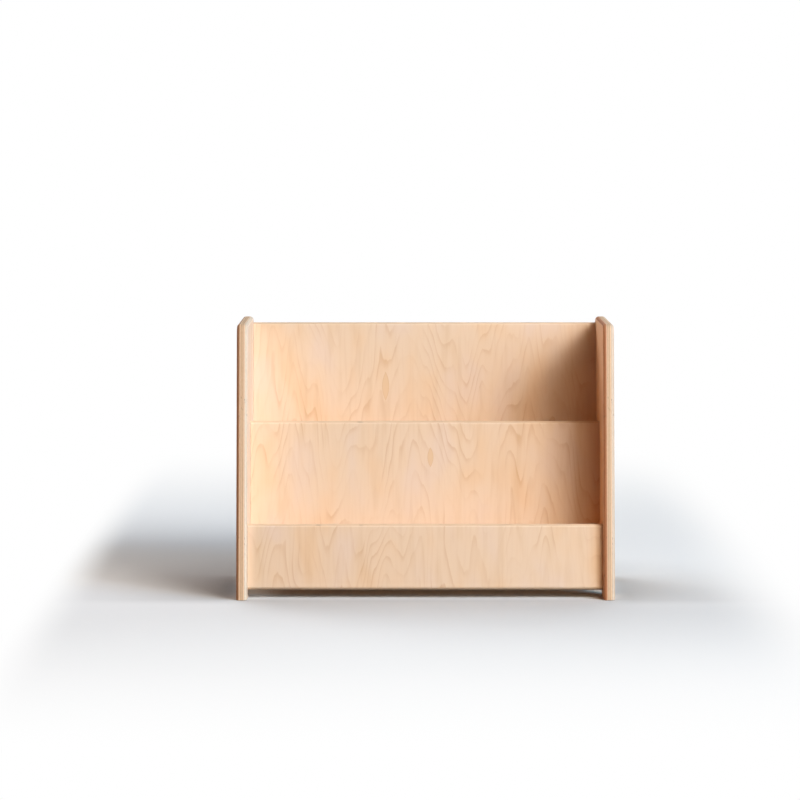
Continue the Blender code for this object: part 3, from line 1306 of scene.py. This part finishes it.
@dataclass
class CrossBoard:
    """A board between the sides: a leaning panel, or a shelf square to the lean."""

    node: str
    finish: Plywood
    frame: LeaningFrame
    hardware: list[Hardware]
    rounding_steps: int = 8
    shelf_steps: int = 2

    def __post_init__(self) -> None:
        """Reads the board's middle and size from its node."""
        low, high = self.frame.box(self.node)
        self.middle = (low + high) / 2.0
        self.size = high - low

    @property
    def is_shelf(self) -> bool:
        """Whether the board is a pocket's floor."""
        return self.node.endswith("shelf")

    def build(self) -> bpy.types.Object:
        """Models the board from a box, and drills it.

        Returns:
            The finished board.
        """
        board = Bench.box(self.node + "_finished", self.frame.matrix @ self.middle, self.size, -LEAN)
        rounding = (RIM_EASE, self.shelf_steps) if self.is_shelf else (EDGE_ROUNDING, self.rounding_steps)

        def runs_along(start: Vector, end: Vector) -> bool:
            """Tells the board's long edges."""
            return abs(start.x - end.x) > self.size.x / 2.0

        with Bench.editing(board):
            Bench.select_edges(board, runs_along)
            Bench.bevel(*rounding)
            Bench.face_outwards()
        for kind in self.hardware:
            kind.drill(board, [node for node in kind.nodes if node.startswith(self.node)])
        Bench.smooth(board)
        return board

    @property
    def axes(self) -> BoardAxes:
        """How the board lies."""
        if self.is_shelf:
            return BoardAxes(LEAN, self.frame.matrix @ self.middle, self.size.z, Grain.ACROSS_SHELF)
        foot = self.frame.matrix @ Vector((0.0, self.middle.y, 0.0))
        return BoardAxes(LEAN, foot, self.size.y, Grain.UPRIGHT_PANEL)

    def dress(self, board: bpy.types.Object) -> None:
        """Gives the board its plywood."""
        slot = Slot.SHELF if self.is_shelf else Slot.PANEL
        dress(board, self.node, slot, self.finish.material(self.axes))


@dataclass(frozen=True)
class SoftBox:
    """A studio light: a lit panel that looks at the object, placed by its angles in degrees."""

    name: str
    azimuth: float
    elevation: float
    distance: float
    width: float
    height: float
    level: float
    colour: Colour = (1.0, 1.0, 1.0)
    in_mirrors: bool = False

    aim: ClassVar[Vector] = Vector((0.0, 0.0, 0.20))

    @property
    def share(self) -> float:
        """What a card at the aim gets of the light, per unit of the panel's brightness."""
        wide = self.width / 2.0 / self.distance
        high = self.height / 2.0 / self.distance
        one = wide / (1.0 + wide**2) ** 0.5 * atan2(high, (1.0 + wide**2) ** 0.5)
        two = high / (1.0 + high**2) ** 0.5 * atan2(wide, (1.0 + high**2) ** 0.5)
        return 2.0 * (one + two) / pi

    def build(self) -> None:
        """Adds the light; its level is what a white card square to it at the aim would show."""
        lamp = bpy.data.lights.new(self.name, "AREA")
        lamp.shape = "RECTANGLE"
        lamp.size = self.width
        lamp.size_y = self.height
        lamp.color = self.colour
        lamp.energy = self.level * pi * self.width * self.height / self.share
        light = bpy.data.objects.new(self.name, lamp)
        bpy.context.scene.collection.objects.link(light)
        azimuth = radians(self.azimuth)
        elevation = radians(self.elevation)
        flat = Vector((sin(azimuth), -cos(azimuth), 0.0)) * cos(elevation)
        back = flat + Vector((0.0, 0.0, sin(elevation)))
        light.location = self.aim + back * self.distance
        light.rotation_euler = back.to_track_quat("Z", "Y").to_euler()
        light.visible_camera = False
        light.visible_glossy = self.in_mirrors


@dataclass
class Studio:
    """The pale floor, the soft light and the camera."""

    lights: tuple[SoftBox, ...] = (
        SoftBox("key_light", 36.5, 30.0, 8.0, 3.5, 2.5, 0.53, (1.0, 0.98, 0.95), True),
        SoftBox("warm_front_light", 27.0, 22.0, 8.0, 5.6, 5.0, 0.365, (1.0, 0.79, 0.55), True),
        SoftBox("cool_side_light", 55.0, 22.0, 8.0, 4.0, 5.0, 0.34, (0.80, 1.20, 1.66), True),
        SoftBox("left_light", 222.0, 20.0, 6.0, 3.6, 1.8, 0.33),
        SoftBox("back_light", 185.0, 40.0, 6.0, 7.0, 2.0, 0.25),
        SoftBox("gold_reflector", -70.0, 4.0, 3.0, 1.2, 0.5, 0.155, (1.0, 0.38, 0.12)),
    )
    ambient: float = 0.004
    front_gloom: float = 0.08
    mirror_behind: Span = (-0.1, 0.5)
    mirror_aside: Span = (-0.4, 0.4)
    floor_size: float = 40.0
    floor_colour: Colour = (0.945, 0.965, 0.980)

    # Shade on the floor close to the object; the spans are metres from the middle
    nook_reach: float = 0.35
    nook_samples: int = 24
    nook_power: float = 1.5
    left_nook: float = 1.0
    front_nook: float = 0.50
    right_nook: float = 0.75
    side_from: Span = (0.275, 0.335)
    nook_beside_from: Span = (-0.21, -0.13)
    nook_before_until: Span = (-0.16, -0.12)
    front_nook_fades: Span = (0.20, 0.40)
    front_nook_fade: float = 0.8

    # The floor under the bookcase: tinted orange for the camera as painted light bounced from the wood, and
    # the only floor that throws much light back
    painted_bounce_under: Colour = (0.93, 0.82, 0.70)
    floor_bounce: Colour = (0.05, 0.05, 0.05)
    under_back: Span = (0.10, 0.13)
    painted_bounce_sides: Span = (0.288, 0.300)
    painted_bounce_front: Span = (-0.100, -0.060)
    bounce_sides: Span = (0.27, 0.29)
    bounce_front: Span = (-0.13, -0.10)

    # Where the floor turns plain white
    white_left: Span = (0.535, 0.635)
    white_right: Span = (0.44, 0.62)
    white_before: Span = (0.14, 1.45)
    white_behind: Span = (0.70, 2.40)

    camera_place: Vector = field(default_factory=lambda: Vector((-0.041, -5.570, 0.773)))
    camera_pitch: float = radians(4.74)
    focal_pixels: float = 3400.0
    image_pixels: float = 800.0

    def build(self) -> None:
        """Sets the stage."""
        self._camera()
        self._world()
        self._floor()
        for light in self.lights:
            light.build()
        bpy.context.scene.view_settings.view_transform = "Standard"

    def _camera(self) -> None:
        """Adds the camera, at the photograph's place."""
        data = bpy.data.cameras.new("camera")
        data.lens = data.sensor_width * self.focal_pixels / self.image_pixels
        camera = bpy.data.objects.new("camera", data)
        camera.location = self.camera_place
        camera.rotation_euler = (pi / 2.0 - self.camera_pitch, 0.0, 0.0)
        bpy.context.scene.collection.objects.link(camera)
        bpy.context.scene.camera = camera

    @staticmethod
    def _rays(graph: ShaderGraph) -> tuple[Wire, Wire]:
        """Tells what the camera sees from light that lights other things.

        Args:
            graph: The graph of the floor or of the world.

        Returns:
            One where the camera sees it, and one where the camera sees it in a mirror or through glass.
        """
        camera = graph.node("ShaderNodeLightPath", output="Is Camera Ray")
        bent = camera.other("Is Glossy Ray") + camera.other("Is Transmission Ray")
        return camera, (bent > 0.5) * (1.0 - camera)

    def _world(self) -> None:
        """Makes a white backdrop with little light of its own; a mirror shows it behind and to the right."""
        world = bpy.data.worlds.new("studio")
        world.use_nodes = True
        graph = ShaderGraph(world.node_tree)
        camera, mirror = self._rays(graph)
        aside, behind = graph.split(graph.node("ShaderNodeTexCoord", output="Generated"))[:2]
        backdrop = graph.step(behind, *self.mirror_behind) * graph.step(aside, *self.mirror_aside)
        backdrop = backdrop * (1.0 - self.front_gloom) + self.front_gloom
        strength = camera + mirror * backdrop + (1.0 - camera - mirror) * self.ambient
        sockets = {"Color": (1.0, 1.0, 1.0, 1.0), "Strength": strength}
        background = graph.node("ShaderNodeBackground", {}, sockets)
        graph.node("ShaderNodeOutputWorld", sockets={"Surface": background})
        bpy.context.scene.world = world

    def _floor(self) -> None:
        """Lays the floor, which turns plain white away from the object."""
        Bench.clear_selection()
        bpy.ops.mesh.primitive_plane_add(size=self.floor_size)
        plane = Bench.take("floor")
        material, graph = new_material("floor")
        x, y = graph.split(graph.node("ShaderNodeTexCoord", output="Object"))[:2]
        under = 1.0 - graph.step(y, *self.under_back)
        # Painted bounce: the floor under the front of the bookcase is tinted orange as if lit by light thrown
        # back from the wood
        painted_bounce = under * graph.step(y, *self.painted_bounce_front) * (1.0 - graph.step(abs(x), *self.painted_bounce_sides))
        bright = under * graph.step(y, *self.bounce_front) * (1.0 - graph.step(abs(x), *self.bounce_sides))
        pale = graph.mix(self._nooks(graph, x, y), self.floor_colour, (0.0, 0.0, 0.0))
        pale = graph.tint(pale, painted_bounce, self.painted_bounce_under)
        bounce = graph.mix(bright, self.floor_bounce, self.floor_colour)
        near = graph.node("ShaderNodeBsdfDiffuse", {}, {"Color": pale})
        hidden = graph.node("ShaderNodeBsdfDiffuse", {}, {"Color": bounce})
        white = graph.node("ShaderNodeEmission", {}, {"Strength": 1.0})
        kept = (1.0 - graph.step(-x, *self.white_left)) * (1.0 - graph.step(x, *self.white_right))
        kept = kept * (1.0 - graph.step(-y, *self.white_before)) * (1.0 - graph.step(y, *self.white_behind))
        shown = graph.node("ShaderNodeMixShader", {}, {0: 1.0 - kept, 1: near, 2: white})
        camera, mirror = self._rays(graph)
        graph.surface(graph.node("ShaderNodeMixShader", {}, {0: camera + mirror, 1: hidden, 2: shown}))
        plane.data.materials.append(material)
        plane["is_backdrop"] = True

    def _nooks(self, graph: ShaderGraph, x: Wire, y: Wire) -> Wire:
        """Shades the floor close to the object.

        Args:
            graph: The floor's graph.
            x: The place across the front.
            y: The place from front to back.

        Returns:
            The shade, from nought to one where it is black.
        """
        settings = {"samples": self.nook_samples}
        open_share = graph.node("ShaderNodeAmbientOcclusion", settings, {"Distance": self.nook_reach}, "AO")
        at_left = graph.step(-x, *self.side_from)
        at_right = graph.step(x, *self.side_from)
        beside = at_left * self.left_nook + at_right * self.right_nook
        beside = beside * graph.step(y, *self.nook_beside_from)
        before = 1.0 - graph.step(y, *self.nook_before_until)
        before = before * (1.0 - graph.step(x, *self.front_nook_fades) * self.front_nook_fade)
        amount = before * self.front_nook * (1.0 - at_left) + beside
        return (1.0 - open_share**self.nook_power) * amount


SIDE_SHEET = Plywood("side_plywood", 0.0, long_ply=(0.955, 0.690, 0.480), cross_ply=(0.860, 0.600, 0.405))
SIDE_FINISHES = {
    End.LEFT: replace(
        SIDE_SHEET,
        name="left_side_plywood",
        seed=33.0,
        # A paler veneer than the right side's: painted light for its brightly lit inner face
        veneer=(0.920, 0.725, 0.565),
        # Painted shade on the plies of the outer arris, painted highlight on those of the inner arris
        low_side_painted_shade=(0.52, 0.39, 0.30),
        low_side_shade_from=(0.0038, 0.0058),
        high_side_painted_light=(0.95, 1.10, 1.26),
    ),
    End.RIGHT: replace(
        SIDE_SHEET,
        name="right_side_plywood",
        seed=47.0,
        # A deeper, more orange veneer: partly the sheet's own tone, partly painted shade for its shaded inner
        # face
        veneer=(0.920, 0.600, 0.380),
        # Painted shade on the plies of the inner arris, a painted cool light on those of the outer arris
        low_side_painted_shade=(0.74, 0.46, 0.34),
        low_side_shade_from=(0.0025, 0.0045),
        high_side_painted_light=(0.84, 0.92, 1.02),
    ),
}

# The three panels are cut from one sheet, so that its figure runs on over them
PANEL_SHEET = 1.0
BOARD_FINISHES = {
    "front_panel": Plywood("front_panel_plywood", PANEL_SHEET),
    "middle_panel": Plywood("middle_panel_plywood", PANEL_SHEET, (Repair(0.009, 0.236, 0.010, 0.033),)),
    "back_panel": Plywood("back_panel_plywood", PANEL_SHEET, (Repair(-0.065, 0.360, 0.012, 0.049),)),
    "lower_shelf": Plywood("lower_shelf_plywood", 16.0),
    "upper_shelf": Plywood("upper_shelf_plywood", 21.0),
}


def boards(frame: LeaningFrame, hardware: list[Hardware]) -> list[SidePanel | CrossBoard]:
    """Lists the plywood boards, each in its finish.

    Args:
        frame: The leaning frame.
        hardware: The fasteners that the boards are drilled for.

    Returns:
        The two sides, the three panels and the two shelves.
    """
    sides = [SidePanel(end, SIDE_FINISHES[end], hardware) for end in End]
    across = [CrossBoard(node, finish, frame, hardware) for node, finish in BOARD_FINISHES.items()]
    return sides + across


def main() -> None:
    """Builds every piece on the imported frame, and the studio round it."""
    logging.basicConfig(level=logging.INFO, format="%(name)s: %(message)s")
    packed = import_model()
    cad_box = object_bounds()
    frame = LeaningFrame(LEAN, cad_box[0].y, packed["nodes"])
    finishes = {
        ConnectorBolts: Steel("bolt_zinc"),
        BarrelNuts: Steel("nut_zinc", plate=(0.58, 0.57, 0.545)),
        Dowels: Beech("dowel_beech"),
    }
    hardware = [kind(frame, list(packed["nodes"])) for kind in finishes]
    for board in boards(frame, hardware):
        board.dress(board.build())
    for kind in hardware:
        kind.dress(kind.build(), finishes[type(kind)].material())
    Studio().build()


if __name__ == "__main__":
    main()
